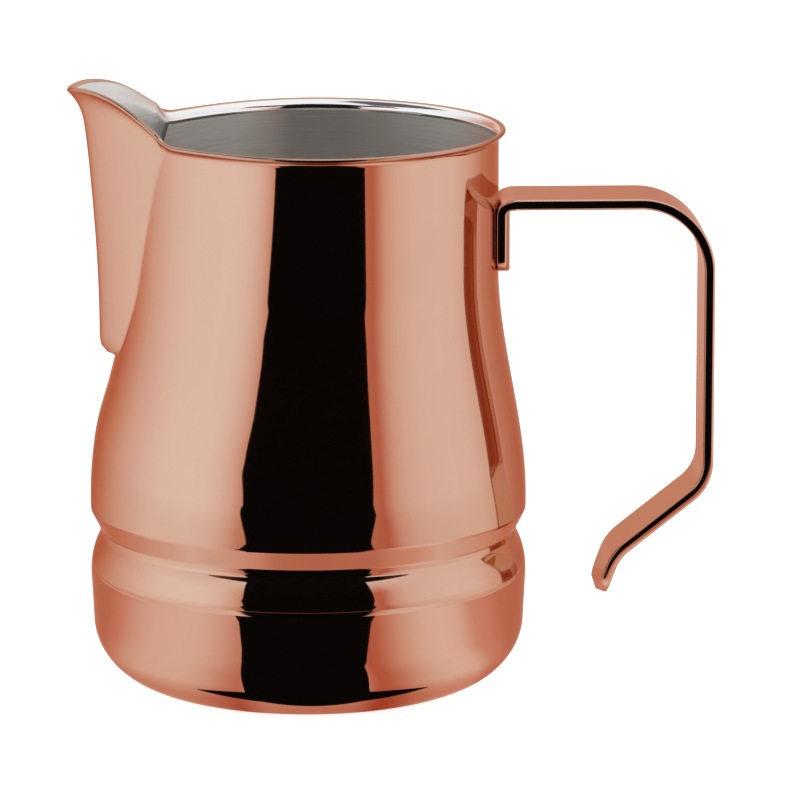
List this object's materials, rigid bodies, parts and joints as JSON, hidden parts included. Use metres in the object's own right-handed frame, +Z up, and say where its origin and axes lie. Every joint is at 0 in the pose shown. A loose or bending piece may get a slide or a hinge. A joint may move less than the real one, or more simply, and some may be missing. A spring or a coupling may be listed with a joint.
{
  "type": "milk frothing pitcher",
  "caption": "Milk frothing pitcher in polished copper-coloured stainless steel, with a grooved bell-shaped body, a long V-shaped spout and an open flat-bar handle.",
  "frame": {"origin": "centre of the flat base, on the plane the pitcher stands on", "axes": "+Z up along the vessel's axis, -X towards the spout, +X towards the handle; XZ is the plane of symmetry"},
  "size_m": [0.1322, 0.09, 0.125],
  "materials": {
    "copper_steel": "mirror polished, copper-coloured coating; plain brushed steel inside the vessel",
    "weld_steel": "ground flush and polished"
  },
  "bodies": {
    "root": {"vessel_body": "copper_steel", "spout": "copper_steel", "spout_seam": "weld_steel", "handle": "copper_steel", "handle_weld": "weld_steel"}
  },
  "joints": []
}
